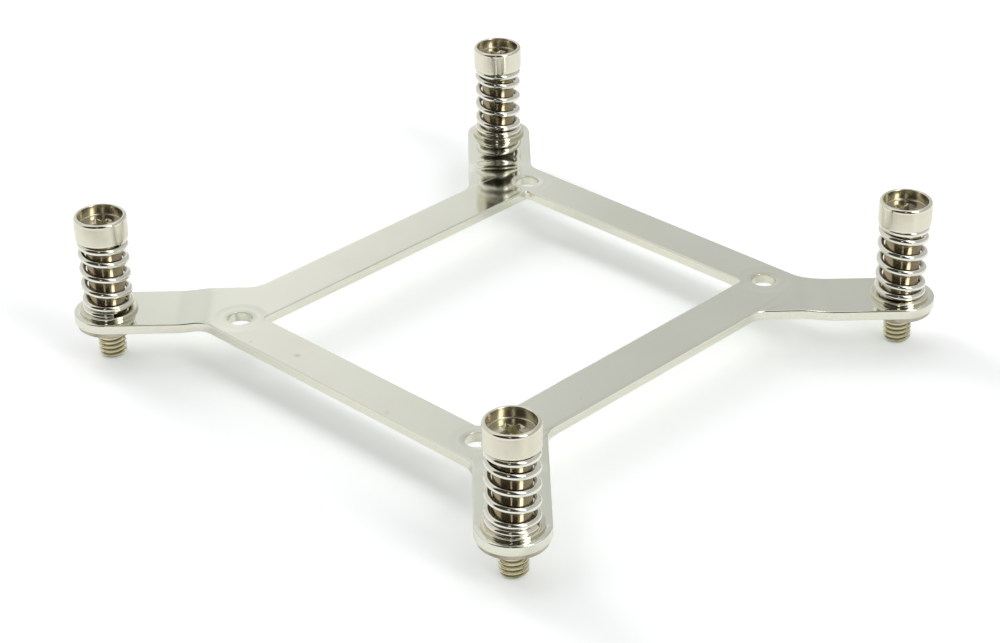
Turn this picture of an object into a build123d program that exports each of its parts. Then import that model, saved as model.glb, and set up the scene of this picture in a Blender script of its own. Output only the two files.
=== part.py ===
from build123d import *
import math
import os

# CPU cooler mounting bracket: a flat stamped frame with four diagonal arms, and a captive spring
# screw in the end of each arm. Millimetres, +Z up. It stands on its screw tips at z = 0, and the
# origin is under the middle of the frame.

# Screw pattern, a square
screw_spacing = 80.0

# Frame
plate_thickness = 1.5
frame_length = 67.6
frame_width = 57.5
window_length = 54.2
window_width = 42.6
window_corner_radius = 0.6
arm_rim = 0.9
arm_root_radius = 3.5
arm_corner_offset = 3.5709
arm_set_down = 0.4
set_down_length = 4.0
edge_radius = 0.2

# Small holes for the screws of the cooling block, each in a shallow coined seat. Their places are
# measured in from the frame's edges.
block_hole_edge_x = 4.3
block_hole_edge_y = 5.15
block_hole_diameter = 3.6
coin_rim = 1.5
coin_slope = 0.7
coin_depth = 0.06

# Shoulder screw, from its tip upwards
thread_diameter = 4.0
thread_length = 4.3
tip_chamfer = 0.5
shoulder_diameter = 5.0
collar_length = 0.7
collar_chamfer = 0.25
groove_depth = 0.5
head_overhang = 0.1
head_height = 3.5
head_edge_radius = 0.2
cup_wall = 0.58
cup_depth = 1.55
cup_floor_crown = 0.3
rim_outer_radius = 0.38
rim_inner_radius = 0.16
recess_length = 3.2
recess_wing = 0.95
recess_depth = 1.3
recess_draft = 9.0

# Spring, left hand, with closed and ground ends
wire_diameter = 1.0
spring_length = 11.1
active_turns = 3.9
closed_turns = 1.0
blend_turns = 0.4
coil_gap = 0.06
points_per_turn = 12

# Washer under the spring
washer_rim = 1.45
washer_thickness = 0.5

# Retaining clip under the arm
clip_rim = 2.15
clip_thickness = 0.7
clip_band = 1.5
clip_lobe_width = 1.8
clip_mouth_width = 3.4
clip_lobe_angle = 72.0

# Clearances, measured on the radius where the pieces are round
arm_hole_clearance = 0.2
washer_clearance = 0.15
spring_clearance = 0.15
clip_clearance = 0.03
groove_slack = 0.06

# One station at each corner: its side of the frame, the turn of its spring's lower end
# and the turn of its screw
stations = {
    "left": {"side": (-1, 1), "spring_turn": 243.0, "screw_turn": 2.0},
    "front": {"side": (-1, -1), "spring_turn": 286.0, "screw_turn": 86.0},
    "right": {"side": (1, -1), "spring_turn": 62.0, "screw_turn": 8.0},
    "rear": {"side": (1, 1), "spring_turn": 0.0, "screw_turn": 10.0},
}

# Spacing of the small holes
block_hole_spacing_x = frame_length - 2 * block_hole_edge_x
block_hole_spacing_y = frame_width - 2 * block_hole_edge_y

# Heights, stacked up from the screw tip
groove_z = thread_length + collar_length
plate_z = groove_z + clip_thickness
plate_top_z = plate_z + plate_thickness
frame_z = plate_z + arm_set_down
frame_top_z = plate_top_z + arm_set_down
washer_top_z = plate_top_z + washer_thickness
head_z = washer_top_z + spring_length
head_top_z = head_z + head_height
cup_floor_z = head_top_z - cup_depth

# Radii, grown outwards from the screw's shoulder
thread_radius = thread_diameter / 2
shoulder_radius = shoulder_diameter / 2
groove_radius = shoulder_radius - groove_depth
coil_radius = shoulder_radius + spring_clearance + wire_diameter / 2
head_radius = coil_radius + wire_diameter / 2 + head_overhang
cup_radius = head_radius - cup_wall
washer_bore_radius = shoulder_radius + washer_clearance
washer_radius = washer_bore_radius + washer_rim
arm_hole_radius = shoulder_radius + arm_hole_clearance
arm_width = 2 * (washer_radius + arm_rim)
clip_radius = shoulder_radius + clip_rim
clip_grip_radius = groove_radius + clip_clearance


def make_plate():
    # Each arm runs in from its screw, and its middle line passes the frame's corner at a set distance,
    # so the corner stays inside the arm's root. The window takes the inner ends of the arms away.
    outline = Rectangle(frame_length, frame_width)
    beyond_x = (screw_spacing - frame_length) / 2
    beyond_y = (screw_spacing - frame_width) / 2
    corner_distance = math.hypot(beyond_x, beyond_y)
    lean = math.atan2(beyond_y, beyond_x) - math.asin(arm_corner_offset / corner_distance)
    arm_length = screw_spacing / 2 * math.sqrt(2)
    arm = Pos(-arm_length / 2, 0) * SlotCenterToCenter(arm_length, arm_width)
    arm_places = []
    for place in GridLocations(screw_spacing, screw_spacing, 2, 2):
        run_x = math.copysign(math.cos(lean), place.position.X)
        run_y = math.copysign(math.sin(lean), place.position.Y)
        arm_places.append(place * Rot(0, 0, math.degrees(math.atan2(run_y, run_x))))
        outline += arm_places[-1] * arm

    # The roots are the corners on one edge of the frame
    arm_roots = []
    for corner in outline.vertices():
        on_end = math.isclose(abs(corner.X), frame_length / 2, abs_tol=1e-4)
        on_side = math.isclose(abs(corner.Y), frame_width / 2, abs_tol=1e-4)
        if on_end != on_side:
            arm_roots.append(corner)
    outline = fillet(arm_roots, arm_root_radius)
    outline -= RectangleRounded(window_length, window_width, window_corner_radius)
    plate = Pos(0, 0, frame_z) * extrude(outline, plate_thickness)

    # Past a soft bend beside the frame's corner, each arm is set down to the level of its washer. The
    # bent strip is wider than the arm and its roots, and the outline trims it.
    bend_end = set_down_length / 2 - math.sqrt(corner_distance ** 2 - arm_corner_offset ** 2)
    bend_start = bend_end - set_down_length
    top_bend = Spline(
        (bend_start, 0, frame_top_z), (bend_end, 0, plate_top_z), tangents=((1, 0, 0), (1, 0, 0))
    )
    low_bend = Pos(0, 0, -plate_thickness) * top_bend
    arm_tip = Line((arm_width, 0, plate_top_z), (arm_width, 0, plate_z))
    section = make_face([
        top_bend,
        Line(top_bend @ 1, arm_tip @ 0),
        arm_tip,
        Line(arm_tip @ 1, low_bend @ 1),
        low_bend,
        Line(low_bend @ 0, top_bend @ 0),
    ])
    bent_strip = extrude(section, 2 * arm_width, dir=(0, 1, 0), both=True)
    past_bend = Rectangle(arm_width - bend_start, 4 * arm_width, align=(Align.MIN, Align.CENTER))
    flat_strip = extrude(Pos(bend_start, 0, frame_z) * past_bend, plate_thickness)
    trim = Pos(0, 0, plate_z) * extrude(outline, frame_top_z - plate_z)
    for place in arm_places:
        plate = plate - place * flat_strip + (place * bent_strip & trim)
    walls = plate.faces().filter_by(lambda face: abs(face.normal_at().Z) < 0.001)
    top_edges = [edge for edge in walls.edges() if edge.bounding_box().min.Z > plate_top_z - edge_radius]
    plate = fillet(top_edges, edge_radius)

    standing = (Align.CENTER, Align.CENTER, Align.MIN)
    arm_hole = Pos(0, 0, plate_z) * Cylinder(arm_hole_radius, plate_thickness, align=standing)
    for place in GridLocations(screw_spacing, screw_spacing, 2, 2):
        plate -= place * arm_hole

    block_hole_radius = block_hole_diameter / 2
    coin_radius = block_hole_radius + coin_rim
    block_hole = Pos(0, 0, frame_z) * Cylinder(block_hole_radius, plate_thickness, align=standing)
    coin_z = frame_top_z - coin_depth
    coin = Pos(0, 0, coin_z) * Cone(coin_radius, coin_radius + coin_slope, coin_depth, align=standing)
    for place in GridLocations(block_hole_spacing_x, block_hole_spacing_y, 2, 2):
        plate -= place * block_hole
        plate -= place * coin
    return plate


def make_screw():
    # The half section is turned about Z, then the cross recess is sunk into the cup's floor
    section = make_face(Polyline(
        (0, 0),
        (thread_radius - tip_chamfer, 0),
        (thread_radius, tip_chamfer),
        (thread_radius, thread_length),
        (shoulder_radius - collar_chamfer, thread_length),
        (shoulder_radius, thread_length + collar_chamfer),
        (shoulder_radius, groove_z),
        (groove_radius, groove_z),
        (groove_radius, plate_z + groove_slack),
        (shoulder_radius, plate_z + groove_slack),
        (shoulder_radius, head_z),
        (head_radius, head_z),
        (head_radius, head_top_z),
        (cup_radius, head_top_z),
        (cup_radius, cup_floor_z),
        (0, cup_floor_z + cup_floor_crown),
        close=True,
    ))
    # The rim's two roundings share the top of the cup's wall, and are limited by it together
    most_of_wall = 0.98 * cup_wall
    rim_fit = min(1, most_of_wall / (rim_inner_radius + rim_outer_radius))
    rounded_corners = (
        (cup_radius, head_top_z, rim_fit * rim_inner_radius),
        (head_radius, head_top_z, rim_fit * rim_outer_radius),
        (head_radius, head_z, head_edge_radius),
    )
    for across, up, radius in rounded_corners:
        corner = section.vertices().sort_by_distance((across, up, 0))[0]
        section = fillet(corner, radius)
    screw = revolve(Rot(90, 0, 0) * section, Axis.Z)

    cross = Rectangle(recess_length, recess_wing) + Rectangle(recess_wing, recess_length)
    recess = extrude(Pos(0, 0, cup_floor_z + cup_floor_crown) * cross, -recess_depth, taper=recess_draft)
    return screw - recess


def make_spring():
    # The wire starts and ends half sunk in its two seats, which gives the ground faces. The coils
    # lie close at both ends, and the pitch grows to its full size over a short blend.
    turns = 2 * closed_turns + active_turns
    closed_pitch = wire_diameter + coil_gap
    opening = (spring_length - turns * closed_pitch) / (active_turns - blend_turns)

    def ramp(turn):
        past = min(max(turn, 0), blend_turns)
        return past ** 2 / (2 * blend_turns) + max(turn - blend_turns, 0)

    def height(turn):
        opened = ramp(turn - closed_turns) - ramp(turn - closed_turns - active_turns + blend_turns)
        return washer_top_z + closed_pitch * turn + opening * opened

    count = round(turns * points_per_turn)
    line = []
    for step in range(count + 1):
        turn = turns * step / count
        angle = -2 * math.pi * turn
        line.append((coil_radius * math.cos(angle), coil_radius * math.sin(angle), height(turn)))
    path = Spline(*line)
    wire = sweep(Plane(path @ 0, z_dir=path % 0) * Circle(wire_diameter / 2), path, is_frenet=True)
    between_seats = Pos(0, 0, washer_top_z) * Cylinder(
        coil_radius + wire_diameter, spring_length, align=(Align.CENTER, Align.CENTER, Align.MIN)
    )
    return wire & between_seats


def make_washer():
    ring = Circle(washer_radius) - Circle(washer_bore_radius)
    return Pos(0, 0, plate_top_z) * extrude(ring, washer_thickness)


def make_clip():
    # An E-shaped ring: three lobes grip the groove, and the mouth opens along +X
    band = Circle(clip_radius) - Circle(clip_radius - clip_band)
    lobe_length = clip_radius - clip_band / 2
    lobe = Pos(lobe_length / 2, 0) * Rectangle(lobe_length, clip_lobe_width)
    for angle in (180, clip_lobe_angle, -clip_lobe_angle):
        band += Rot(0, 0, angle) * lobe
    band -= Pos(clip_radius / 2, 0) * Rectangle(clip_radius, clip_mouth_width)
    band -= Circle(clip_grip_radius)
    return Pos(0, 0, groove_z) * extrude(band, clip_thickness)


def main():
    os.makedirs("parts", exist_ok=True)
    export_step(make_plate(), "parts/mounting_plate.step")
    screw = make_screw()
    spring = make_spring()
    washer = make_washer()
    clip = make_clip()
    for name, station in stations.items():
        side_x, side_y = station["side"]
        place = Pos(side_x * screw_spacing / 2, side_y * screw_spacing / 2, 0)
        inwards = math.degrees(math.atan2(-side_y, -side_x))
        export_step(place * Rot(0, 0, station["screw_turn"]) * screw, f"parts/{name}_screw.step")
        export_step(place * Rot(0, 0, station["spring_turn"]) * spring, f"parts/{name}_spring.step")
        export_step(place * washer, f"parts/{name}_washer.step")
        export_step(place * Rot(0, 0, inwards) * clip, f"parts/{name}_clip.step")


main()
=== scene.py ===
import math
import bmesh
import bpy
from mathutils import Matrix, Vector


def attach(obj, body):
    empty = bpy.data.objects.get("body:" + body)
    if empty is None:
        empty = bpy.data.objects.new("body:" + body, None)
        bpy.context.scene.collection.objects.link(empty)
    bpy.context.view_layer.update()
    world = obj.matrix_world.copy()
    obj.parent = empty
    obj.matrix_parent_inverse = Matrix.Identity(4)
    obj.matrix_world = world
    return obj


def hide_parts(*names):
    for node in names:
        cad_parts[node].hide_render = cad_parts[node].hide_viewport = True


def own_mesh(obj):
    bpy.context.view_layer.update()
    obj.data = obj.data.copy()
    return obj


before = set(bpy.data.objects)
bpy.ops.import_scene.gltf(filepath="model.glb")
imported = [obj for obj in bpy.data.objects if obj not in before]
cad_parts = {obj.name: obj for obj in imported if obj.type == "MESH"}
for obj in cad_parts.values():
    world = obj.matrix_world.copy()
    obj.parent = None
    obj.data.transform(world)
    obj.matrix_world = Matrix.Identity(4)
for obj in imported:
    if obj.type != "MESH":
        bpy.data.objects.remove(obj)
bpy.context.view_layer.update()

mm = 0.001
mergeGap = 0.0005 * mm  # points nearer than this are one
scene = bpy.context.scene

# Where each screw stands, and how far its spring and its cross recess are turned, in degrees
halfSpacing = 40.0
stations = {
    "left": {"x": -halfSpacing, "y": halfSpacing, "springTurn": 243.0, "screwTurn": 2.0},
    "front": {"x": -halfSpacing, "y": -halfSpacing, "springTurn": 286.0, "screwTurn": 86.0},
    "right": {"x": halfSpacing, "y": -halfSpacing, "springTurn": 62.0, "screwTurn": 8.0},
    "rear": {"x": halfSpacing, "y": halfSpacing, "springTurn": 0.0, "screwTurn": 10.0},
}


# Node helpers, for the geometry trees and the materials alike

def addNode(tree, kind, **settings):
    made = tree.nodes.new(kind)
    for name, value in settings.items():
        setattr(made, name, value)
    return made


def feed(tree, socket, value):
    if isinstance(value, bpy.types.NodeSocket):
        tree.links.new(value, socket)
    elif value is not None:
        socket.default_value = value


def calc(tree, operation, a, b=None, c=None):
    made = addNode(tree, "ShaderNodeMath", operation=operation)
    for socket, value in zip(made.inputs, (a, b, c)):
        feed(tree, socket, value)
    return made.outputs[0]


def remap(tree, value, fromLow, fromHigh, toLow, toHigh, smooth=False):
    made = addNode(tree, "ShaderNodeMapRange", interpolation_type="SMOOTHSTEP" if smooth else "LINEAR")
    for socket, given in zip(made.inputs, (value, fromLow, fromHigh, toLow, toHigh)):
        feed(tree, socket, given)
    return made.outputs[0]


def combine(tree, x, y, z):
    made = addNode(tree, "ShaderNodeCombineXYZ")
    for socket, value in zip(made.inputs, (x, y, z)):
        feed(tree, socket, value)
    return made.outputs[0]


def split(tree, vector):
    made = addNode(tree, "ShaderNodeSeparateXYZ")
    feed(tree, made.inputs[0], vector)
    return made.outputs


def vectorCalc(tree, operation, a, b):
    made = addNode(tree, "ShaderNodeVectorMath", operation=operation)
    feed(tree, made.inputs[0], a)
    feed(tree, made.inputs[1], b)
    return made.outputs


def mixColours(tree, factor, a, b, blend="MIX"):
    made = addNode(tree, "ShaderNodeMix", data_type="RGBA", blend_type=blend)
    for index, value in ((0, factor), (6, a), (7, b)):  # the sockets that colours use
        feed(tree, made.inputs[index], value)
    return made.outputs[2]


def noise(tree, vector, scale, detail, roughness=0.5):
    made = addNode(tree, "ShaderNodeTexNoise")
    values = {"Vector": vector, "Scale": scale, "Detail": detail, "Roughness": roughness}
    for label, value in values.items():
        feed(tree, made.inputs[label], value)
    return made.outputs[0]


# Shader groups that several finishes share

def newShaderGroup(name, inputs, outputs):
    tree = bpy.data.node_groups.new(name, "ShaderNodeTree")
    for label, kind in inputs.items():
        tree.interface.new_socket(label, in_out="INPUT", socket_type="NodeSocket" + kind)
    for label, kind in outputs.items():
        tree.interface.new_socket(label, in_out="OUTPUT", socket_type="NodeSocket" + kind)
    return tree, addNode(tree, "NodeGroupInput").outputs, addNode(tree, "NodeGroupOutput").inputs


def useGroup(tree, group, values):
    made = addNode(tree, "ShaderNodeGroup", node_tree=group)
    for label, value in values.items():
        feed(tree, made.inputs[label], value)
    return made.outputs


polish = {
    "broadDetail": 4.0,
    "broadRoughness": 0.6,
    "broadShare": 0.6,
    "fineRatio": 3.7,
    "fineDetail": 2.0,
    "fineShare": 0.4,
}


def buildPolishMarks():  # fine parallel lines left by rolling, drawing or turning
    tree, given, result = newShaderGroup(
        "polishMarks",
        {"Vector": "Vector", "Stretch": "Vector", "Fineness": "Float"},
        {"Lines": "Float"},
    )
    drawn = vectorCalc(tree, "MULTIPLY", given["Vector"], given["Stretch"])[0]
    broad = noise(tree, drawn, given["Fineness"], polish["broadDetail"], polish["broadRoughness"])
    finer = calc(tree, "MULTIPLY", given["Fineness"], polish["fineRatio"])
    fine = noise(tree, drawn, finer, polish["fineDetail"])
    broad = calc(tree, "MULTIPLY", broad, polish["broadShare"])
    feed(tree, result["Lines"], calc(tree, "MULTIPLY_ADD", fine, polish["fineShare"], broad))
    return tree


dulling = {
    "detail": 5.0,
    "roughness": 0.55,
    "cloudEdge": (0.42, 0.72),
    "speckCore": 0.4,
    "speckChance": (0.55, 0.75),
}


def buildTarnish():  # soft clouds where the plating has dulled, and tiny dull specks
    tree, given, result = newShaderGroup(
        "tarnish",
        {"Vector": "Vector", "Cloud Scale": "Float", "Speck Scale": "Float", "Speck Size": "Float"},
        {"Clouds": "Float", "Specks": "Float"},
    )
    cloud = noise(tree, given["Vector"], given["Cloud Scale"], dulling["detail"], dulling["roughness"])
    feed(tree, result["Clouds"], remap(tree, cloud, *dulling["cloudEdge"], 0.0, 1.0, True))
    cells = addNode(tree, "ShaderNodeTexVoronoi", feature="F1")
    feed(tree, cells.inputs["Vector"], given["Vector"])
    feed(tree, cells.inputs["Scale"], given["Speck Scale"])
    inner = calc(tree, "MULTIPLY", given["Speck Size"], dulling["speckCore"])
    spot = remap(tree, cells.outputs["Distance"], inner, given["Speck Size"], 1.0, 0.0, True)
    some = remap(tree, split(tree, cells.outputs["Color"])[0], *dulling["speckChance"], 0.0, 1.0)
    feed(tree, result["Specks"], calc(tree, "MULTIPLY", spot, some))
    return tree


polishMarks = buildPolishMarks()
tarnish = buildTarnish()


# Finishes

def newFinish(name):
    material = bpy.data.materials.new(name)
    material.use_nodes = True
    tree = material.node_tree
    shader = tree.nodes["Principled BSDF"]
    shader.inputs["Metallic"].default_value = 1.0
    coords = addNode(tree, "ShaderNodeTexCoord").outputs["Object"]
    return material, tree, shader.inputs, coords


def polishLines(tree, vector, finish):
    values = {"Vector": vector, "Stretch": finish["stretch"], "Fineness": finish["fineness"]}
    return useGroup(tree, polishMarks, values)["Lines"]


def dullClouds(tree, coords, finish):
    return useGroup(tree, tarnish, {"Vector": coords, "Cloud Scale": finish["cloudScale"]})["Clouds"]


def platedColour(tree, clouds, finish):  # the bright colour, dulled where the clouds lie
    share = calc(tree, "MULTIPLY", clouds, finish["cloudShare"])
    return mixColours(tree, share, finish["bright"], finish["dulled"])


def addRoughness(tree, shader, base, parts):  # each part is a mask and what it adds
    rough = base
    for mask, amount in parts:
        rough = calc(tree, "MULTIPLY_ADD", mask, amount, rough)
    feed(tree, shader["Roughness"], rough)


def addBump(tree, shader, height, strength, distance):
    bump = addNode(tree, "ShaderNodeBump")
    bump.inputs["Strength"].default_value = strength
    bump.inputs["Distance"].default_value = distance
    feed(tree, bump.inputs["Height"], height)
    feed(tree, shader["Normal"], bump.outputs[0])


def rising(tree, value, bounds):  # 0 up to the first bound in mm, and 1 past the second
    return remap(tree, value, bounds[0] * mm, bounds[1] * mm, 0.0, 1.0)


def falling(tree, value, bounds):  # 1 up to the first bound in mm, and 0 past the second
    return remap(tree, value, bounds[0] * mm, bounds[1] * mm, 1.0, 0.0)


def within(tree, value, bounds, soft):  # 1 between two bounds in mm, with soft ends
    low, high = bounds
    rise = remap(tree, value, (low - soft) * mm, (low + soft) * mm, 0.0, 1.0, True)
    fall = remap(tree, value, (high - soft) * mm, (high + soft) * mm, 1.0, 0.0, True)
    return calc(tree, "MULTIPLY", rise, fall)


def offAxis(tree, coords):  # how far a point lies from the nearest screw's axis, in x and in y
    x, y = split(tree, coords)[:2]
    across = calc(tree, "SUBTRACT", calc(tree, "ABSOLUTE", x), halfSpacing * mm)
    along = calc(tree, "SUBTRACT", calc(tree, "ABSOLUTE", y), halfSpacing * mm)
    return across, along


def axisRadius(tree, across, along):
    square = calc(tree, "MULTIPLY_ADD", across, across, calc(tree, "MULTIPLY", along, along))
    return calc(tree, "SQRT", square)


plateFinish = {
    "bright": (0.79, 0.80, 0.70, 1.0),
    "dulled": (0.73, 0.73, 0.62, 1.0),
    "speck": (0.34, 0.31, 0.23, 1.0),
    "sheared": (0.70, 0.68, 0.57, 1.0),  # the stamped walls
    "cloudScale": 55.0,
    "cloudShare": 0.45,
    "speckScale": 160.0,
    "speckSize": 0.05,
    "speckShare": 0.2,
    "stretch": (30.0, 900.0, 900.0),
    "fineness": 3.0,
    "wallFacing": (0.1, 0.5),  # how far up or down a face looks where it stops being a wall
    "shearedLines": (0.35, 0.65),
    "shearedShare": (0.3, 1.0),
    "roughness": 0.05,
    "roughnessInClouds": 0.03,
    "roughnessInLines": 0.03,
    "roughnessOnWalls": 0.14,
    "roughnessInMarks": 0.5,
    "bumpStrength": 0.03,
    "bumpDistance": 0.0001,
    "scuffHeight": 7.6,
    "scuffs": (  # two dull marks on the near left strip: x, y, radius, strength
        (-31.0, 9.8, 0.8, 0.3),
        (-32.9, -10.1, 0.7, 0.12),
    ),
}


def scuffShare(tree, coords):  # how much of the dull colour lies at a point
    most = 0.0
    for x, y, size, strength in plateFinish["scuffs"]:
        middle = (x * mm, y * mm, plateFinish["scuffHeight"] * mm)
        gap = vectorCalc(tree, "DISTANCE", coords, middle)["Value"]
        spot = remap(tree, gap, 0.0, size * mm, strength, 0.0, True)
        most = calc(tree, "MAXIMUM", spot, most)
    return most


def makePlateNickel():
    material, tree, shader, coords = newFinish("plateNickel")
    lines = polishLines(tree, coords, plateFinish)
    dull = useGroup(tree, tarnish, {
        "Vector": coords,
        "Cloud Scale": plateFinish["cloudScale"],
        "Speck Scale": plateFinish["speckScale"],
        "Speck Size": plateFinish["speckSize"],
    })
    facing = split(tree, addNode(tree, "ShaderNodeNewGeometry").outputs["Normal"])[2]
    wall = remap(tree, calc(tree, "ABSOLUTE", facing), *plateFinish["wallFacing"], 1.0, 0.0, True)
    specks = calc(tree, "MULTIPLY", dull["Specks"], plateFinish["speckShare"])
    marked = calc(tree, "MAXIMUM", specks, scuffShare(tree, coords))
    colour = platedColour(tree, dull["Clouds"], plateFinish)
    colour = mixColours(tree, marked, colour, plateFinish["speck"])
    lined = remap(tree, lines, *plateFinish["shearedLines"], *plateFinish["shearedShare"])
    sheared = calc(tree, "MULTIPLY", wall, lined)
    feed(tree, shader["Base Color"], mixColours(tree, sheared, colour, plateFinish["sheared"]))
    addRoughness(tree, shader, plateFinish["roughness"], (
        (dull["Clouds"], plateFinish["roughnessInClouds"]),
        (lines, plateFinish["roughnessInLines"]),
        (wall, plateFinish["roughnessOnWalls"]),
        (marked, plateFinish["roughnessInMarks"]),
    ))
    addBump(tree, shader, lines, plateFinish["bumpStrength"], plateFinish["bumpDistance"])
    return material


screwFinish = {
    "bright": (0.74, 0.71, 0.59, 1.0),
    "dulled": (0.66, 0.61, 0.47, 1.0),
    # painted shade: the shank inside the spring is darker than the plating
    "shankShade": (0.40, 0.33, 0.21, 1.0),
    # painted shade: the inside of the cup is darker
    "cup": (0.55, 0.51, 0.39, 1.0),
    # painted shade in the thread's roots and a painted highlight on its crests
    "threadRoot": (0.33, 0.30, 0.19, 1.0),
    "threadCrestHighlight": (0.80, 0.76, 0.60, 1.0),
    # the top of the rim is lighter in cloudy patches
    "rimTopLighter": (0.82, 0.81, 0.74, 1.0),
    "cloudScale": 260.0,
    "cloudShare": 0.5,
    "roughness": 0.05,
    "roughnessInRings": 0.05,
    "roughnessOnWall": 0.13,  # spread up and down only
    "roughnessOnShank": 0.10,
    "roughnessInCup": 0.15,
    "roughnessInClouds": 0.03,
    "stretch": (1.0, 1.0, 1.0),
    "fineness": 5200.0,  # rings to a metre
    "ringDrift": 0.00002,
    "ringDepth": 0.0000008,
    "feed": 0.00015,
    "feedDepth": 0.0001,
    "spreadTurn": 0.25,
    "shankHeights": (5.7, 18.8),  # from here on, the bounds of the screw's zones in mm
    "shankSoft": 0.03,
    "shankRadii": (2.55, 2.62),
    "wallHeights": (19.1, 21.8),
    "wallSoft": 0.1,
    "wallRadii": (3.6, 3.7),
    "cupHeights": (18.9, 19.0),
    "cupRadii": (3.15, 3.25),
    "rimHeights": (22.0, 22.3),
    "rimClouds": (0.2, 0.8),
    "rimShare": (0.2, 0.9),
    "threadHeights": (4.8, 5.2),
    "crestRadii": (1.62, 1.95),
}


def makeScrewNickel():
    material, tree, shader, coords = newFinish("screwNickel")
    across, along = offAxis(tree, coords)
    radius = axisRadius(tree, across, along)
    x, y, height = split(tree, coords)
    turn = calc(tree, "ARCTAN2", along, across)
    drift = calc(tree, "MULTIPLY", turn, screwFinish["ringDrift"])
    rings = polishLines(tree, combine(tree, radius, drift, height), screwFinish)
    clouds = dullClouds(tree, coords, screwFinish)
    shankHigh = within(tree, height, screwFinish["shankHeights"], screwFinish["shankSoft"])
    onShank = calc(tree, "MULTIPLY", shankHigh, falling(tree, radius, screwFinish["shankRadii"]))
    wallHigh = within(tree, height, screwFinish["wallHeights"], screwFinish["wallSoft"])
    onWall = calc(tree, "MULTIPLY", wallHigh, rising(tree, radius, screwFinish["wallRadii"]))
    cupHigh = rising(tree, height, screwFinish["cupHeights"])
    inCup = calc(tree, "MULTIPLY", cupHigh, falling(tree, radius, screwFinish["cupRadii"]))
    # the top of the rim is lighter in cloudy patches
    rimTopPatches = remap(tree, clouds, *screwFinish["rimClouds"], *screwFinish["rimShare"])
    onRim = calc(tree, "MULTIPLY", rising(tree, height, screwFinish["rimHeights"]), rimTopPatches)
    # painted shade in the thread's roots and painted highlight on its crests
    onThread = falling(tree, height, screwFinish["threadHeights"])
    crest = rising(tree, radius, screwFinish["crestRadii"])
    thread = mixColours(tree, crest, screwFinish["threadRoot"], screwFinish["threadCrestHighlight"])
    colour = platedColour(tree, clouds, screwFinish)
    # painted shade on the shank inside the spring
    colour = mixColours(tree, onShank, colour, screwFinish["shankShade"])
    # painted shade inside the cup
    colour = mixColours(tree, inCup, colour, screwFinish["cup"])
    colour = mixColours(tree, onThread, colour, thread)
    feed(tree, shader["Base Color"], mixColours(tree, onRim, colour, screwFinish["rimTopLighter"]))
    addRoughness(tree, shader, screwFinish["roughness"], (
        (rings, screwFinish["roughnessInRings"]),
        (onWall, screwFinish["roughnessOnWall"]),
        (onShank, screwFinish["roughnessOnShank"]),
        (inCup, screwFinish["roughnessInCup"]),
        (clouds, screwFinish["roughnessInClouds"]),
    ))

    # the shank keeps the marks of the tool, leaning like saw teeth
    tooth = calc(tree, "FRACT", calc(tree, "DIVIDE", height, -screwFinish["feed"]))
    tooth = calc(tree, "MULTIPLY", tooth, calc(tree, "MULTIPLY", onShank, screwFinish["feedDepth"]))
    addBump(tree, shader, calc(tree, "MULTIPLY_ADD", rings, screwFinish["ringDepth"], tooth), 1.0, 1.0)

    # turning rings on the wall and the shank spread what they mirror up and down
    fromX = calc(tree, "SUBTRACT", x, calc(tree, "MULTIPLY", calc(tree, "SIGN", x), halfSpacing * mm))
    fromY = calc(tree, "SUBTRACT", y, calc(tree, "MULTIPLY", calc(tree, "SIGN", y), halfSpacing * mm))
    feed(tree, shader["Tangent"], combine(tree, calc(tree, "MULTIPLY", fromY, -1.0), fromX, 0.0))
    shader["Anisotropic Rotation"].default_value = screwFinish["spreadTurn"]
    feed(tree, shader["Anisotropic"], calc(tree, "MAXIMUM", onWall, onShank))
    return material


springFinish = {
    "bright": (0.78, 0.77, 0.69, 1.0),
    "dulled": (0.68, 0.65, 0.54, 1.0),
    # painted shade: the wire's inner side, facing the shank, is darker
    "inside": (0.22, 0.18, 0.12, 1.0),
    "insideRadii": (2.9, 3.2),
    "cloudScale": 420.0,
    "cloudShare": 0.4,
    "stretch": (0.7, 26.0, 0.0),  # along and round the wire
    "fineness": 2.0,
    "roughness": 0.06,
    "roughnessInLines": 0.05,
    "bumpStrength": 0.06,
    "bumpDistance": 0.00003,
}


def makeSpringNickel():
    material, tree, shader, coords = newFinish("springNickel")
    wire = addNode(tree, "ShaderNodeAttribute", attribute_name="wire").outputs["Vector"]
    lines = polishLines(tree, wire, springFinish)
    radius = axisRadius(tree, *offAxis(tree, coords))
    near, far = springFinish["insideRadii"]
    # painted shade darkens the inner side of the coils
    inside = remap(tree, radius, near * mm, far * mm, 1.0, 0.0, True)
    colour = platedColour(tree, dullClouds(tree, coords, springFinish), springFinish)
    feed(tree, shader["Base Color"], mixColours(tree, inside, colour, springFinish["inside"]))
    addRoughness(tree, shader, springFinish["roughness"], ((lines, springFinish["roughnessInLines"]),))
    addBump(tree, shader, lines, springFinish["bumpStrength"], springFinish["bumpDistance"])
    return material


clipFinish = {
    "bright": (0.50, 0.47, 0.38, 1.0),
    "dulled": (0.30, 0.27, 0.20, 1.0),
    "cloudScale": 300.0,
    "cloudShare": 1.0,
    "stretch": (60.0, 1400.0, 60.0),
    "fineness": 3.0,
    "roughness": 0.22,
    "roughnessInLines": 0.15,
    "bumpStrength": 0.08,
    "bumpDistance": 0.00003,
}


def makeClipSteel():
    material, tree, shader, coords = newFinish("clipSteel")
    lines = polishLines(tree, coords, clipFinish)
    clouds = dullClouds(tree, coords, clipFinish)
    feed(tree, shader["Base Color"], platedColour(tree, clouds, clipFinish))
    addRoughness(tree, shader, clipFinish["roughness"], ((lines, clipFinish["roughnessInLines"]),))
    addBump(tree, shader, lines, clipFinish["bumpStrength"], clipFinish["bumpDistance"])
    return material


plateNickel = makePlateNickel()
screwNickel = makeScrewNickel()
springNickel = makeSpringNickel()
clipSteel = makeClipSteel()
print("finishes made:", len(bpy.data.materials))


# Mesh helpers

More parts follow.
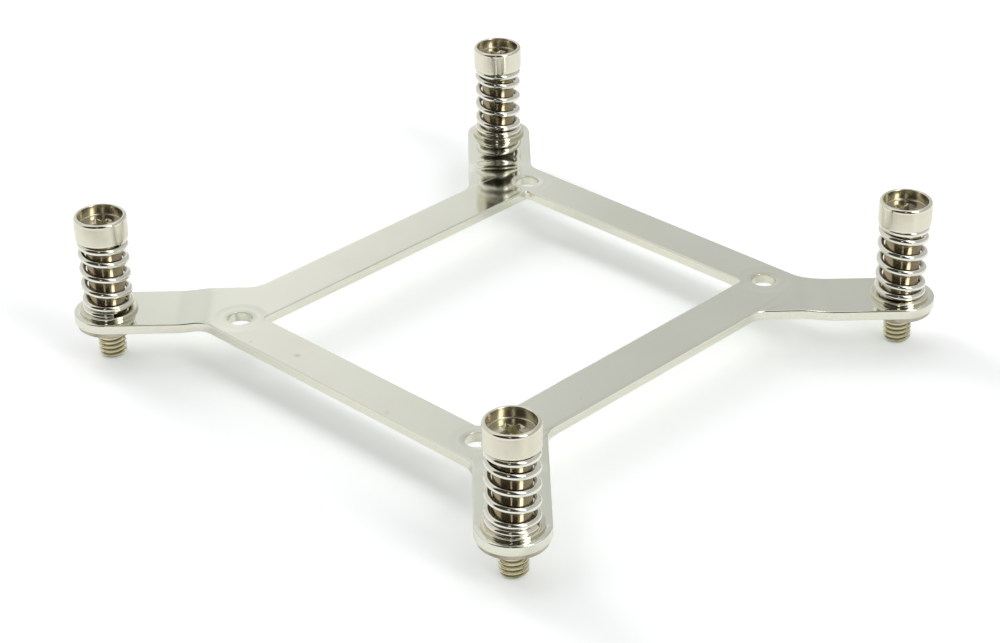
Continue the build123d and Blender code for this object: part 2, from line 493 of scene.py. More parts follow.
def newPiece(name, mesh):
    piece = bpy.data.objects.new(name, mesh)
    scene.collection.objects.link(piece)
    return piece


def settle(piece):  # bakes a piece's modifiers into a plain mesh
    graph = bpy.context.evaluated_depsgraph_get()
    mesh = bpy.data.meshes.new_from_object(piece.evaluated_get(graph), depsgraph=graph)
    piece.modifiers.clear()
    piece.data = mesh


def smoothShading(piece, sharpAngle):  # soft edges shade round, and flat faces stay flat
    mesh = piece.data
    mesh.shade_smooth()
    mesh.set_sharp_from_angle(angle=math.radians(sharpAngle))
    weighted = piece.modifiers.new("flatFaces", "WEIGHTED_NORMAL")
    weighted.keep_sharp = True
    weighted.weight = 100
    settle(piece)


def paint(piece, material):
    piece.data.materials.clear()
    piece.data.materials.append(material)


def cut(piece, cutter):
    boolean = piece.modifiers.new("cut", "BOOLEAN")
    boolean.operation = "DIFFERENCE"
    boolean.solver = "EXACT"
    boolean.object = cutter
    settle(piece)
    bpy.data.objects.remove(cutter)


def roundCorners(corners, stepAngle, closed=True, fewest=3):  # corners are (x, y, radius)
    line = []
    count = len(corners)
    for index, (x, y, radius) in enumerate(corners):
        here = Vector((x, y))
        if radius == 0 or (not closed and index in (0, count - 1)):
            line.append((x, y))
            continue
        back = (Vector(corners[index - 1][:2]) - here).normalized()
        ahead = (Vector(corners[(index + 1) % count][:2]) - here).normalized()
        half = back.angle(ahead) / 2
        centre = here + (back + ahead).normalized() * (radius / math.sin(half))
        start = here + back * (radius / math.tan(half)) - centre
        turn = math.pi - 2 * half
        if back.x * ahead.y - back.y * ahead.x > 0:
            turn = -turn
        steps = max(fewest, round(abs(math.degrees(turn)) / stepAngle))
        for step in range(steps + 1):
            angle = turn * step / steps
            point = Matrix.Rotation(angle, 2) @ start + centre
            line.append((point.x, point.y))
    return line


def endMesh(built, mesh):  # writes a built shape into its mesh
    built.to_mesh(mesh)
    built.free()
    return mesh


def flatMesh(name, loops, low, high, edge, edgeSteps):  # a sheet of any outline, with all its edges rounded
    curve = bpy.data.curves.new(name, "CURVE")
    curve.dimensions = "2D"
    curve.fill_mode = "BOTH"
    curve.extrude = ((high - low) / 2 - edge) * mm
    curve.bevel_depth = edge * mm
    curve.bevel_resolution = edgeSteps
    curve.offset = -edge * mm
    for loop in loops:
        spline = curve.splines.new("POLY")
        spline.points.add(len(loop) - 1)
        for point, (x, y) in zip(spline.points, loop):
            point.co = (x * mm, y * mm, 0, 1)
        spline.use_cyclic_u = True
    holder = newPiece(name, curve)
    mesh = bpy.data.meshes.new_from_object(holder)
    bpy.data.objects.remove(holder)
    built = bmesh.new()
    built.from_mesh(mesh)
    bmesh.ops.remove_doubles(built, verts=built.verts, dist=mergeGap)
    bmesh.ops.translate(built, verts=built.verts, vec=(0, 0, (low + high) / 2 * mm))
    bmesh.ops.recalc_face_normals(built, faces=built.faces)
    return endMesh(built, mesh)


def latheMesh(name, section, steps):  # section is (radius, height) from the axis and back to it
    built = bmesh.new()
    line = [built.verts.new((across * mm, 0, up * mm)) for across, up in section]
    edges = [built.edges.new(pair) for pair in zip(line, line[1:])]
    around = {"axis": (0, 0, 1), "cent": (0, 0, 0), "angle": 2 * math.pi, "steps": steps}
    bmesh.ops.spin(built, geom=line + edges, **around)
    bmesh.ops.remove_doubles(built, verts=built.verts, dist=mergeGap)
    bmesh.ops.recalc_face_normals(built, faces=built.faces)
    return endMesh(built, bpy.data.meshes.new(name))


def newGeometryTree(name, inputs):
    tree = bpy.data.node_groups.new(name, "GeometryNodeTree")
    for label, kind in inputs.items():
        tree.interface.new_socket(label, in_out="INPUT", socket_type="NodeSocket" + kind)
    tree.interface.new_socket("Geometry", in_out="OUTPUT", socket_type="NodeSocketGeometry")
    return tree, addNode(tree, "NodeGroupInput").outputs


def endGeometryTree(tree, geometry, finish):
    realize = addNode(tree, "GeometryNodeRealizeInstances")
    feed(tree, realize.inputs["Geometry"], geometry)
    coat = addNode(tree, "GeometryNodeSetMaterial")
    feed(tree, coat.inputs["Geometry"], realize.outputs[0])
    feed(tree, coat.inputs["Material"], finish)
    feed(tree, addNode(tree, "NodeGroupOutput").inputs[0], coat.outputs[0])


def moveTo(tree, geometry, socket, value):  # socket is Position or Offset
    made = addNode(tree, "GeometryNodeSetPosition")
    feed(tree, made.inputs["Geometry"], geometry)
    feed(tree, made.inputs[socket], value)
    return made.outputs[0]


def polar(tree, angle, radius, height):
    x = calc(tree, "MULTIPLY", calc(tree, "COSINE", angle), radius)
    y = calc(tree, "MULTIPLY", calc(tree, "SINE", angle), radius)
    return combine(tree, x, y, height)


def growTree(name, tree, values):  # runs a tree once and keeps its result as a plain mesh
    piece = newPiece(name, bpy.data.meshes.new(name))
    grown = piece.modifiers.new("grown", "NODES")
    grown.node_group = tree
    for item in tree.interface.items_tree:
        if item.in_out == "INPUT":
            grown[item.identifier] = values[item.name]
    settle(piece)
    return piece


def place(piece, node, body):
    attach(piece, body)
    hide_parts(node)


# Plate: a stamped sheet with set-down arms, a window, and small holes in coined seats
plate = {
    "low": 5.7,
    "high": 7.2,
    "frameLength": 67.6,
    "frameWidth": 57.5,
    "windowLength": 54.2,
    "windowWidth": 42.6,
    "windowCorner": 0.6,
    "armHalf": 5.0,
    "armRoot": 3.5,
    "armHole": 2.7,
    "setDown": 0.4,
    "bendStart": 41.2,  # from the middle, along the arm
    "bendLength": 6.1,
    "bendSteps": 20,
    "edge": 0.2,
    "edgeSteps": 3,
    "blockHole": 1.8,
    "blockHoleX": 29.5,
    "blockHoleY": 23.6,
    "holeEdge": 0.04,
    "holeSides": 96,
    "cutPast": 1.0,  # how far the cutters reach past the sheet
    "seatInner": 2.7,
    "seatOuter": 4.3,
    "seatDepths": {"left": 0.045, "front": 0.01, "right": 0.02, "rear": 0.01},  # the press bit unevenly
    "seatLip": 0.002,
    "seatSteps": 12,
    "outlineStep": 4.0,  # degrees to a step round the corners
    "windowStep": 9.0,
    "holeStep": 22.0,
    "sharpAngle": 32,
}


def plateOutline():
    corners = []
    spread = plate["armHalf"] * math.sqrt(2)
    for name in ("rear", "left", "front", "right"):  # anticlockwise from the first quarter
        sideX = math.copysign(1, stations[name]["x"])
        sideY = math.copysign(1, stations[name]["y"])
        quarter = [
            (plate["frameLength"] / 2, plate["frameLength"] / 2 - spread, plate["armRoot"]),
            (halfSpacing + spread, halfSpacing, plate["armHalf"]),
            (halfSpacing, halfSpacing + spread, plate["armHalf"]),
            (plate["frameWidth"] / 2 - spread, plate["frameWidth"] / 2, plate["armRoot"]),
        ]
        if sideX * sideY < 0:
            quarter.reverse()
        corners += [(sideX * x, sideY * y, radius) for x, y, radius in quarter]
    return roundCorners(corners, plate["outlineStep"])


def windowOutline():
    x = plate["windowLength"] / 2
    y = plate["windowWidth"] / 2
    ends = ((x, y), (-x, y), (-x, -y), (x, -y))
    return roundCorners([(*end, plate["windowCorner"]) for end in ends], plate["windowStep"])


def setArmsDown(mesh):  # the frame lies a little higher than the arms, past a soft bend at each root
    built = bmesh.new()
    built.from_mesh(mesh)
    for station in stations.values():
        along = Vector((station["x"], station["y"], 0)).normalized()
        for step in range(plate["bendSteps"] + 1):
            reach = plate["bendStart"] + plate["bendLength"] * step / plate["bendSteps"]
            everything = built.verts[:] + built.edges[:] + built.faces[:]
            bmesh.ops.bisect_plane(built, geom=everything, plane_co=along * reach * mm, plane_no=along)
    for vertex in built.verts:
        reach = (abs(vertex.co.x) + abs(vertex.co.y)) / math.sqrt(2) / mm
        share = min(max((reach - plate["bendStart"]) / plate["bendLength"], 0), 1)
        drop = share ** 3 * (10 - 15 * share + 6 * share ** 2)  # level at both ends of the bend
        vertex.co.z += plate["setDown"] * (1 - drop) * mm
    endMesh(built, mesh)


def armCutter():
    past = plate["cutPast"]
    hole = plate["armHole"]
    low = plate["low"]
    high = plate["high"]
    section = roundCorners([
        (0.0, low - past, 0),
        (hole + past, low - past, 0),
        (hole + past, low, 0),
        (hole, low, plate["holeEdge"]),
        (hole, high, plate["holeEdge"]),
        (hole + past, high, 0),
        (hole + past, high + past, 0),
        (0.0, high + past, 0),
    ], plate["holeStep"], closed=False)
    return latheMesh("armHole", section, plate["holeSides"])


def blockCutter(depth):
    past = plate["cutPast"]
    hole = plate["blockHole"]
    low = plate["low"] + plate["setDown"]
    high = plate["high"] + plate["setDown"]
    floor = high - depth
    section = roundCorners([
        (0.0, low - past, 0),
        (hole + past, low - past, 0),
        (hole + past, low, 0),
        (hole, low, plate["holeEdge"]),
        (hole, floor, plate["holeEdge"]),
        (plate["seatInner"], floor, 0),
    ], plate["holeStep"], closed=False)
    for step in range(1, plate["seatSteps"] + 1):
        share = step / plate["seatSteps"]
        rise = share * share * (3 - 2 * share)
        across = plate["seatInner"] + (plate["seatOuter"] - plate["seatInner"]) * share
        section.append((across, floor + (depth + plate["seatLip"]) * rise))
    section += [(plate["seatOuter"], high + past), (0.0, high + past)]
    return latheMesh("blockHole", section, plate["holeSides"])


def holeCutters():
    built = bmesh.new()
    for name, station in stations.items():
        sideX = math.copysign(plate["blockHoleX"], station["x"])
        sideY = math.copysign(plate["blockHoleY"], station["y"])
        blockHole = blockCutter(plate["seatDepths"][name])
        for cutter, x, y in ((armCutter(), station["x"], station["y"]), (blockHole, sideX, sideY)):
            cutter.transform(Matrix.Translation((x * mm, y * mm, 0)))
            built.from_mesh(cutter)
    return newPiece("holes", endMesh(built, bpy.data.meshes.new("holes")))


def makePlate():
    loops = [plateOutline(), windowOutline()]
    mesh = flatMesh("plate", loops, plate["low"], plate["high"], plate["edge"], plate["edgeSteps"])
    setArmsDown(mesh)
    piece = newPiece("plate", mesh)
    cut(piece, holeCutters())
    smoothShading(piece, plate["sharpAngle"])
    paint(piece, plateNickel)
    place(piece, "mounting_plate", "plate")
    return piece


platePiece = makePlate()
print("plate made:", len(platePiece.data.polygons), "faces")


# Springs: left-hand wire, close at both ends, ground flat on its two seats
spring = {
    "wireRadius": 0.5,
    "coilRadius": 3.15,
    "seat": 7.7,
    "length": 11.1,
    "turns": 5.9,
    "closedTurns": 1.0,
    "blendTurns": 0.4,
    "closedPitch": 1.06,
    "points": 520,
    "sides": 32,
    "pressed": 4.0,  # how far the screw presses it down
    "sharpAngle": 50,
}


def storeValue(tree, geometry, name, kind, value):
    made = addNode(tree, "GeometryNodeStoreNamedAttribute", data_type=kind, domain="POINT")
    feed(tree, made.inputs["Geometry"], geometry)
    made.inputs["Name"].default_value = name
    feed(tree, made.inputs["Value"], value)
    return made.outputs[0]


def readValue(tree, name):
    made = addNode(tree, "GeometryNodeInputNamedAttribute", data_type="FLOAT")
    made.inputs["Name"].default_value = name
    return made.outputs[0]


def buildSpringTree():
    tree, given = newGeometryTree("springCoil", {
        "Wire Radius": "Float", "Coil Radius": "Float", "Seat": "Float", "Length": "Float",
        "Turns": "Float", "Closed Turns": "Float", "Blend Turns": "Float", "Closed Pitch": "Float",
        "Start Angle": "Float", "Middle": "Vector", "Points": "Int", "Sides": "Int", "Finish": "Material",
    })
    blend = given["Blend Turns"]
    pitch = given["Closed Pitch"]

    def ramp(turn):  # grows slowly over the blend, and then turn by turn
        past = calc(tree, "MINIMUM", calc(tree, "MAXIMUM", turn, 0.0), blend)
        square = calc(tree, "MULTIPLY", past, past)
        bent = calc(tree, "DIVIDE", square, calc(tree, "MULTIPLY", blend, 2.0))
        return calc(tree, "ADD", bent, calc(tree, "MAXIMUM", calc(tree, "SUBTRACT", turn, blend), 0.0))

    line = addNode(tree, "GeometryNodeCurvePrimitiveLine")
    points = addNode(tree, "GeometryNodeResampleCurve")
    feed(tree, points.inputs["Curve"], line.outputs[0])
    feed(tree, points.inputs["Count"], given["Points"])
    share = addNode(tree, "GeometryNodeSplineParameter").outputs["Factor"]
    turn = calc(tree, "MULTIPLY", share, given["Turns"])
    active = calc(tree, "MULTIPLY_ADD", given["Closed Turns"], -2.0, given["Turns"])
    spare = calc(tree, "SUBTRACT", given["Length"], calc(tree, "MULTIPLY", given["Turns"], pitch))
    opening = calc(tree, "DIVIDE", spare, calc(tree, "SUBTRACT", active, blend))
    first = calc(tree, "SUBTRACT", turn, given["Closed Turns"])
    last = calc(tree, "ADD", calc(tree, "SUBTRACT", first, active), blend)
    opened = calc(tree, "SUBTRACT", ramp(first), ramp(last))
    height = calc(tree, "MULTIPLY_ADD", opened, opening, calc(tree, "MULTIPLY", turn, pitch))
    height = calc(tree, "ADD", height, given["Seat"])
    angle = calc(tree, "MULTIPLY_ADD", turn, -2 * math.pi, given["Start Angle"])
    coil = polar(tree, angle, given["Coil Radius"], height)
    middle = vectorCalc(tree, "ADD", coil, given["Middle"])[0]

    # how far along and round the wire a point lies, for the drawn marks
    along = storeValue(tree, points.outputs[0], "along", "FLOAT", turn)
    wound = moveTo(tree, along, "Position", middle)
    circle = addNode(tree, "GeometryNodeCurvePrimitiveCircle")
    feed(tree, circle.inputs["Resolution"], given["Sides"])
    feed(tree, circle.inputs["Radius"], given["Wire Radius"])
    circuit = addNode(tree, "GeometryNodeSplineParameter").outputs["Factor"]
    around = storeValue(tree, circle.outputs[0], "around", "FLOAT", circuit)
    wire = addNode(tree, "GeometryNodeCurveToMesh")
    feed(tree, wire.inputs["Curve"], wound)
    feed(tree, wire.inputs["Profile Curve"], around)
    wire.inputs["Fill Caps"].default_value = True
    both = combine(tree, readValue(tree, "along"), readValue(tree, "around"), 0.0)
    marked = storeValue(tree, wire.outputs[0], "wire", "FLOAT_VECTOR", both)

    # both ends are ground flat where they meet the washer and the head
    x, y, z = split(tree, addNode(tree, "GeometryNodeInputPosition").outputs[0])
    top = calc(tree, "ADD", given["Seat"], given["Length"])
    flat = calc(tree, "MINIMUM", calc(tree, "MAXIMUM", z, given["Seat"]), top)
    ground = moveTo(tree, marked, "Position", combine(tree, x, y, flat))
    endGeometryTree(tree, ground, given["Finish"])
    return tree


springTree = buildSpringTree()
for name, station in stations.items():
    piece = growTree(name + "Spring", springTree, {
        "Wire Radius": spring["wireRadius"] * mm,
        "Coil Radius": spring["coilRadius"] * mm,
        "Seat": spring["seat"] * mm,
        "Length": spring["length"] * mm,
        "Turns": spring["turns"],
        "Closed Turns": spring["closedTurns"],
        "Blend Turns": spring["blendTurns"],
        "Closed Pitch": spring["closedPitch"] * mm,
        "Start Angle": math.radians(station["springTurn"]),
        "Middle": (station["x"] * mm, station["y"] * mm, 0.0),
        "Points": spring["points"],
        "Sides": spring["sides"],
        "Finish": springNickel,
    })
    smoothShading(piece, spring["sharpAngle"])
    place(piece, name + "_spring", name + "_spring_set")
    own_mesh(piece)
print("springs made: 4")


# Washers: thin rings with softly rounded edges
washer = {
    "bore": 2.65,
    "rim": 4.1,
    "low": 7.2,
    "high": 7.7,
    "edge": 0.1,
    "edgeSteps": 4,
    "sides": 128,
    "sharpAngle": 40,
}


def buildWasherTree():
    tree, given = newGeometryTree("washerRing", {
        "Bore": "Float", "Rim": "Float", "Low": "Float", "High": "Float", "Edge": "Float",
        "Edge Steps": "Int", "Middle": "Vector", "Sides": "Int", "Finish": "Material",
    })

    def halfway(a, b):
        return calc(tree, "MULTIPLY", calc(tree, "ADD", given[a], given[b]), 0.5)

    ring = addNode(tree, "GeometryNodeCurvePrimitiveCircle")
    feed(tree, ring.inputs["Resolution"], given["Sides"])
    feed(tree, ring.inputs["Radius"], halfway("Bore", "Rim"))
    section = addNode(tree, "GeometryNodeCurvePrimitiveQuadrilateral")
    feed(tree, section.inputs["Width"], calc(tree, "SUBTRACT", given["Rim"], given["Bore"]))
    feed(tree, section.inputs["Height"], calc(tree, "SUBTRACT", given["High"], given["Low"]))
    soft = addNode(tree, "GeometryNodeFilletCurve", mode="POLY")
    feed(tree, soft.inputs["Count"], given["Edge Steps"])
    feed(tree, soft.inputs["Curve"], section.outputs[0])
    feed(tree, soft.inputs["Radius"], given["Edge"])
    body = addNode(tree, "GeometryNodeCurveToMesh")
    feed(tree, body.inputs["Curve"], ring.outputs[0])
    feed(tree, body.inputs["Profile Curve"], soft.outputs[0])
    lift = combine(tree, 0.0, 0.0, halfway("Low", "High"))
    shift = vectorCalc(tree, "ADD", lift, given["Middle"])[0]
    endGeometryTree(tree, moveTo(tree, body.outputs[0], "Offset", shift), given["Finish"])
    return tree


washerTree = buildWasherTree()
for name, station in stations.items():
    piece = growTree(name + "Washer", washerTree, {
        "Bore": washer["bore"] * mm,
        "Rim": washer["rim"] * mm,
        "Low": washer["low"] * mm,
        "High": washer["high"] * mm,
        "Edge": washer["edge"] * mm,
        "Edge Steps": washer["edgeSteps"],
        "Middle": (station["x"] * mm, station["y"] * mm, 0.0),
        "Sides": washer["sides"],
        "Finish": screwNickel,
    })
    smoothShading(piece, washer["sharpAngle"])
    place(piece, name + "_washer", name + "_spring_set")
print("washers made: 4")


# Screws: a turned body with a cup head, a cross recess and a short thread
screw = {
    "threadRadius": 2.0,
    "threadRoot": 1.58,
    "threadPitch": 0.7,
    "threadLength": 4.3,
    "threadOverlap": 0.05,  # the thread runs this far into the collar
    "threadFlank": (0.25, 0.86),
    "threadSides": 72,
    "threadRows": 16,
    "tipRadius": 1.5,
    "shoulder": 2.5,
    "shoulderEdge": 0.05,
    "collarChamfer": 0.25,
    "grooveLow": 5.0,
    "grooveHigh": 5.76,
    "groove": 2.0,
    "headRoot": 0.15,
    "headLow": 18.8,
    "headTop": 22.3,
    "headRadius": 3.75,
    "headEdge": 0.2,
    "rimOuter": 0.38,
    "rimInner": 0.16,
    "cupRadius": 3.17,
    "cupFloor": 20.75,
    "cupCrown": 0.3,
    "cupCorner": 0.22,
    "steps": 160,
    "stepAngle": 11.0,
    "sharpAngle": 28,
}
recess = {
    "reach": 1.6,
    "wing": 0.46,
    "reachBelow": 0.9,
    "wingBelow": 0.3,
    "depth": 1.3,
    "mouth": 0.14,  # the edge of the mouth is worn wider by this
    "mouthDepth": 0.1,
    "wallDepth": 0.35,
    "wallIn": 0.04,
    "above": 0.5,
}


def screwSection():
    shoulder = screw["shoulder"]
    edge = screw["shoulderEdge"]
    chamfer = screw["collarChamfer"]
    return roundCorners([
        (0.0, 0.0, 0),
        (screw["tipRadius"], 0.0, 0),
        (screw["tipRadius"], screw["threadLength"], 0),
        (shoulder - chamfer, screw["threadLength"], edge),
        (shoulder, screw["threadLength"] + chamfer, edge),
        (shoulder, screw["grooveLow"], edge),
        (screw["groove"], screw["grooveLow"], 0),
        (screw["groove"], screw["grooveHigh"], 0),
        (shoulder, screw["grooveHigh"], edge),
        (shoulder, screw["headLow"], screw["headRoot"]),
        (screw["headRadius"], screw["headLow"], screw["headEdge"]),
        (screw["headRadius"], screw["headTop"], screw["rimOuter"]),
        (screw["cupRadius"], screw["headTop"], screw["rimInner"]),
        (screw["cupRadius"], screw["cupFloor"], screw["cupCorner"]),
        (0.0, screw["cupFloor"] + screw["cupCrown"], 0),
    ], screw["stepAngle"], closed=False)


def crossLoop(reach, wing):
    quarter = [(reach, -wing), (reach, wing), (wing, wing)]
    loop = []
    for turn in range(4):
        loop += [tuple(Matrix.Rotation(turn * math.pi / 2, 2) @ Vector(point)) for point in quarter]
    return loop


def recessCutter():
    top = screw["cupFloor"] + screw["cupCrown"]
    wideReach = recess["reach"] + recess["mouth"]
    wideWing = recess["wing"] + recess["mouth"]
    rows = [
        (top + recess["above"], wideReach, wideWing),
        (top - recess["mouthDepth"], wideReach, wideWing),
        (top - recess["wallDepth"], recess["reach"] - recess["wallIn"], recess["wing"]),
        (top - recess["depth"], recess["reachBelow"], recess["wingBelow"]),
    ]
    built = bmesh.new()
    rings = []
    for up, reach, wing in rows:
        rings.append([built.verts.new((x * mm, y * mm, up * mm)) for x, y in crossLoop(reach, wing)])
    for low, high in zip(rings, rings[1:]):
        for index in range(len(low)):
            after = (index + 1) % len(low)
            built.faces.new((low[index], low[after], high[after], high[index]))
    built.faces.new(rings[0])
    built.faces.new(rings[-1])
    bmesh.ops.recalc_face_normals(built, faces=built.faces)
    return newPiece("recess", endMesh(built, bpy.data.meshes.new("recess")))


def buildThreadTree():
    tree, given = newGeometryTree("screwThread", {
        "Crest": "Float", "Root": "Float", "Pitch": "Float", "Length": "Float", "Tip": "Float",
        "Flank Low": "Float", "Flank High": "Float",
        "Sides": "Int", "Rows Per Turn": "Int", "Finish": "Material",
    })
    turns = calc(tree, "CEIL", calc(tree, "DIVIDE", given["Length"], given["Pitch"]))
    turns = calc(tree, "ADD", turns, 1.0)
    rows = calc(tree, "ADD", calc(tree, "MULTIPLY", turns, given["Rows Per Turn"]), 1.0)
    sheet = addNode(tree, "GeometryNodeMeshGrid")
    sheet.inputs["Size X"].default_value = 1.0
    sheet.inputs["Size Y"].default_value = 1.0
    feed(tree, sheet.inputs["Vertices X"], calc(tree, "ADD", given["Sides"], 1.0))
    feed(tree, sheet.inputs["Vertices Y"], rows)
    x, y = split(tree, addNode(tree, "GeometryNodeInputPosition").outputs[0])[:2]
    share = calc(tree, "ADD", x, 0.5)  # once round
    level = calc(tree, "MULTIPLY", calc(tree, "ADD", y, 0.5), turns)  # in turns
    climb = calc(tree, "ADD", level, calc(tree, "SUBTRACT", share, 1.0))
    height = calc(tree, "MULTIPLY", climb, given["Pitch"])
    height = calc(tree, "MINIMUM", calc(tree, "MAXIMUM", height, 0.0), given["Length"])
    wave = calc(tree, "ABSOLUTE", calc(tree, "MULTIPLY_ADD", calc(tree, "FRACT", level), 2.0, -1.0))
    ridge = remap(tree, wave, given["Flank Low"], given["Flank High"], 0.0, 1.0)
    deep = calc(tree, "SUBTRACT", given["Crest"], given["Root"])
    radius = calc(tree, "MULTIPLY_ADD", ridge, deep, given["Root"])
    radius = calc(tree, "MINIMUM", radius, calc(tree, "ADD", height, given["Tip"]))  # the chamfered tip
    angle = calc(tree, "MULTIPLY", share, 2 * math.pi)
    wound = moveTo(tree, sheet.outputs[0], "Position", polar(tree, angle, radius, height))
    closed = addNode(tree, "GeometryNodeMergeByDistance")
    feed(tree, closed.inputs["Geometry"], wound)
    closed.inputs["Distance"].default_value = mergeGap
    endGeometryTree(tree, closed.outputs[0], given["Finish"])
    return tree


threadTree = buildThreadTree()
screwBody = newPiece("screwBody", latheMesh("screwBody", screwSection(), screw["steps"]))
cut(screwBody, recessCutter())
threadBody = growTree("threadBody", threadTree, {
    "Crest": screw["threadRadius"] * mm,
    "Root": screw["threadRoot"] * mm,
    "Pitch": screw["threadPitch"] * mm,
    "Length": (screw["threadLength"] + screw["threadOverlap"]) * mm,
    "Tip": screw["tipRadius"] * mm,
    "Flank Low": screw["threadFlank"][0],
    "Flank High": screw["threadFlank"][1],
    "Sides": screw["threadSides"],
    "Rows Per Turn": screw["threadRows"],
    "Finish": screwNickel,
})
for name, station in stations.items():
    built = bmesh.new()
    built.from_mesh(screwBody.data)
    built.from_mesh(threadBody.data)
    mesh = endMesh(built, bpy.data.meshes.new(name + "Screw"))
    mesh.transform(Matrix.Rotation(math.radians(station["screwTurn"]), 4, "Z"))
    mesh.transform(Matrix.Translation((station["x"] * mm, station["y"] * mm, 0)))
    piece = newPiece(name + "Screw", mesh)
    smoothShading(piece, screw["sharpAngle"])
    paint(piece, screwNickel)
    place(piece, name + "_screw", name + "_screw_set")
bpy.data.objects.remove(screwBody)
bpy.data.objects.remove(threadBody)
print("screws made: 4")


# Clips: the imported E-rings with their stamped edges eased
clip = {
    "edge": 0.06,
    "segments": 3,
    "mergeGap": 0.001,
    "flatAngle": 1,  # faces that meet at less than this are one
    "edgeAngle": 40,
    "sharpAngle": 32,
}
for name in stations:
    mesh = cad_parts[name + "_clip"].data.copy()
    built = bmesh.new()
    built.from_mesh(mesh)
    bmesh.ops.remove_doubles(built, verts=built.verts, dist=clip["mergeGap"] * mm)
    flat = math.radians(clip["flatAngle"])
    bmesh.ops.dissolve_limit(built, angle_limit=flat, verts=built.verts, edges=built.edges)
    piece = newPiece(name + "Clip", endMesh(built, mesh))
    eased = piece.modifiers.new("eased", "BEVEL")
    eased.width = clip["edge"] * mm
    eased.segments = clip["segments"]
    eased.limit_method = "ANGLE"
    eased.angle_limit = math.radians(clip["edgeAngle"])
    settle(piece)
    smoothShading(piece, clip["sharpAngle"])
    paint(piece, clipSteel)
    place(piece, name + "_clip", name + "_screw_set")
print("clips made: 4")


# Studio: a white floor, a soft lamp on either side, and a room that is dark behind the camera
studio = {
    "towards": (-0.7123, -0.7019, 0.0),  # level, from the object to the camera
    "sideways": (0.7019, -0.7123, 0.0),
    "white": (1.0, 1.0, 1.0, 1.0),
    "dark": (0.06, 0.055, 0.045, 1.0),
    "floorColour": (0.9, 0.9, 0.9, 1.0),
    "floorRoughness": 0.9,
    "floorGlow": 0.27,
    "floorTint": (0.84, 0.9, 0.9, 1.0),
    "floorWhite": 0.11,  # the white ends this far towards the camera
    "floorFade": 0.06,
    "floorHalf": 3.0,
    "floorDrop": 0.01,
    "lampAway": 0.47,
    "lampHeight": 0.37,
    "lampWide": 0.17,
    "lampTall": 0.45,
    "lampPower": 1.0,
    "wallByHeight": ((0.0, 1.0), (0.44, 1.0), (0.56, 0.875), (0.7, 0.9), (0.85, 1.0)),
    "wallBySide": ((0.1, 0.85), (0.26, 1.0), (0.42, 0.9), (0.6, 0.72), (0.9, 0.64)),
    "wallReach": 0.2,
    "panelFrom": (0.7, 0.85),  # how high a direction points where the panel takes over
    "darkTurn": 0.365,
    "darkHalf": (0.76, 0.95),
    "glintWay": (-0.676, -0.505, 0.536),
    "glintCone": (0.996, 0.998),
    "glint": (3.0, 3.0, 3.0, 1.0),
}


def dot(tree, vector, direction):
    return vectorCalc(tree, "DOT_PRODUCT", vector, direction)["Value"]


def makeFloor():
    material = bpy.data.materials.new("floorWhite")
    material.use_nodes = True
    tree = material.node_tree
    shader = tree.nodes["Principled BSDF"].inputs
    shader["Roughness"].default_value = studio["floorRoughness"]
    shader["Specular IOR Level"].default_value = 0.0
    nearer = dot(tree, addNode(tree, "ShaderNodeTexCoord").outputs["Object"], studio["towards"])
    rays = addNode(tree, "ShaderNodeLightPath").outputs
    fadeEnd = studio["floorWhite"] + studio["floorFade"]
    lit = remap(tree, nearer, studio["floorWhite"], fadeEnd, 1.0, 0.0, True)
    lit = calc(tree, "MAXIMUM", lit, rays["Is Camera Ray"])
    feed(tree, shader["Base Color"], mixColours(tree, lit, studio["dark"], studio["floorColour"]))
    feed(tree, shader["Emission Color"], mixColours(tree, lit, studio["dark"], studio["floorTint"]))
    seen = calc(tree, "MAXIMUM", rays["Is Camera Ray"], rays["Is Glossy Ray"])
    feed(tree, shader["Emission Strength"], calc(tree, "MULTIPLY", seen, studio["floorGlow"]))
    under = addNode(tree, "ShaderNodeNewGeometry").outputs["Backfacing"]  # clear from below
    feed(tree, shader["Alpha"], calc(tree, "SUBTRACT", 1.0, under))
    mesh = bpy.data.meshes.new("floor")
    half = studio["floorHalf"]
    drop = -studio["floorDrop"] * mm
    corners = [(-half, -half, drop), (half, -half, drop), (half, half, drop), (-half, half, drop)]
    mesh.from_pydata(corners, [], [(0, 1, 2, 3)])
    mesh.materials.append(material)
    floor = newPiece("floor", mesh)


def makeLamp(name, side, mirrored):
    lamp = bpy.data.lights.new(name, "AREA")
    lamp.shape = "RECTANGLE"
    lamp.size = studio["lampWide"]
    lamp.size_y = studio["lampTall"]
    lamp.energy = studio["lampPower"]
    holder = bpy.data.objects.new(name, lamp)
    holder.location = (0, side * studio["lampAway"], studio["lampHeight"])
    holder.rotation_euler = (-side * math.atan2(studio["lampAway"], studio["lampHeight"]), 0, 0)
    holder.visible_glossy = mirrored
    scene.collection.objects.link(holder)


def greyRamp(tree, factor, stops):  # each stop is a place along the ramp and a grey level
    node = addNode(tree, "ShaderNodeValToRGB")
    ramp = node.color_ramp
    while len(ramp.elements) < len(stops):
        ramp.elements.new(0.5)
    for element, (position, level) in zip(ramp.elements, stops):
        element.position = position
        element.color = (level, level, level, 1)
    feed(tree, node.inputs[0], factor)
    return node.outputs[0]


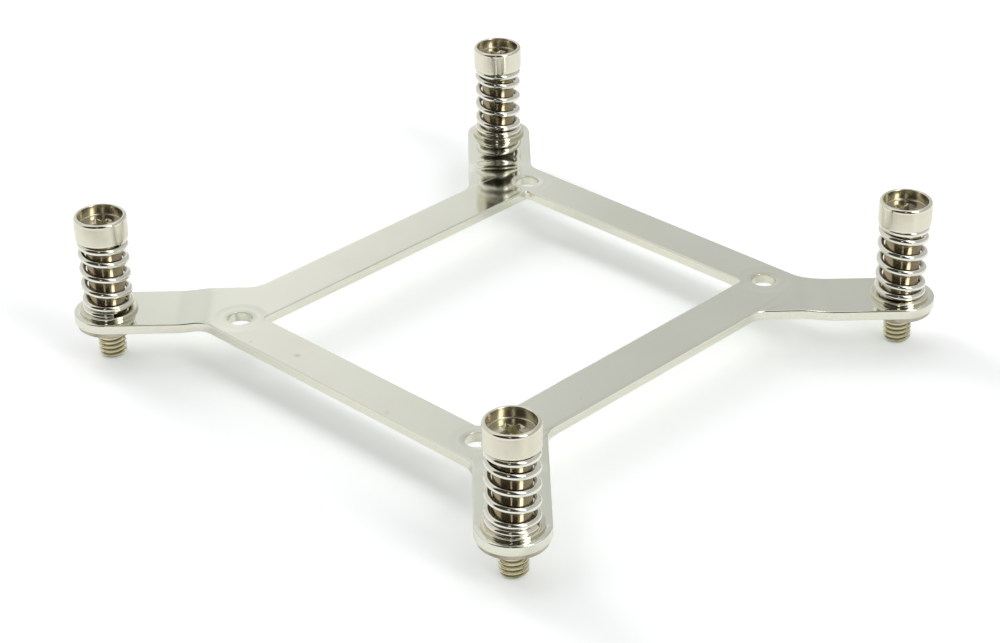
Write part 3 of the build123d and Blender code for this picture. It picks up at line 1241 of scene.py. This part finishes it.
def makeRoom():
    world = bpy.data.worlds.new("studioRoom")
    scene.world = world
    world.use_nodes = True
    tree = world.node_tree
    background = tree.nodes["Background"]
    way = addNode(tree, "ShaderNodeTexCoord").outputs["Generated"]
    up = split(tree, way)[2]
    side = dot(tree, way, studio["sideways"])
    behind = dot(tree, way, studio["towards"])  # behind the camera

    # the far wall is brighter on the left, and a large soft panel hangs overhead
    byHeight = greyRamp(tree, up, studio["wallByHeight"])
    across = remap(tree, side, -studio["wallReach"], studio["wallReach"], 0.0, 1.0)
    bySide = greyRamp(tree, across, studio["wallBySide"])
    overhead = remap(tree, up, *studio["panelFrom"], 0.0, 1.0, True)
    bySide = mixColours(tree, overhead, bySide, studio["white"])
    room = mixColours(tree, 1.0, byHeight, bySide, "MULTIPLY")

    # the room behind the camera is dark, apart from one small lamp
    turn = calc(tree, "ADD", calc(tree, "ARCTAN2", side, behind), studio["darkTurn"])
    wide = remap(tree, calc(tree, "ABSOLUTE", turn), *studio["darkHalf"], 1.0, 0.0, True)
    room = mixColours(tree, wide, room, studio["dark"])
    lamp = dot(tree, way, studio["glintWay"])
    room = mixColours(tree, remap(tree, lamp, *studio["glintCone"], 0.0, 1.0, True), room, studio["glint"])
    rays = addNode(tree, "ShaderNodeLightPath").outputs
    feed(tree, background.inputs["Color"], mixColours(tree, rays["Is Camera Ray"], room, studio["white"]))
    background.inputs["Strength"].default_value = 1.0


makeFloor()
makeLamp("lampRight", -1, True)
makeLamp("lampLeft", 1, False)
makeRoom()
scene.view_settings.view_transform = "Standard"
print("studio made")


# Camera: the photograph's own viewing angle
view = {
    "lens": 90.49,
    "sensor": 36.0,
    "near": 0.01,
    "far": 50.0,
    "location": (-224.78, -219.63, 182.6),
    "turn": (60.368, 0.715, -45.939),
}
lens = bpy.data.cameras.new("camera")
lens.lens = view["lens"]
lens.sensor_width = view["sensor"]
lens.sensor_fit = "HORIZONTAL"
lens.clip_start = view["near"]
lens.clip_end = view["far"]
camera = bpy.data.objects.new("camera", lens)
camera.location = Vector(view["location"]) * mm
camera.rotation_euler = [math.radians(angle) for angle in view["turn"]]
scene.collection.objects.link(camera)
scene.camera = camera
print("camera made")
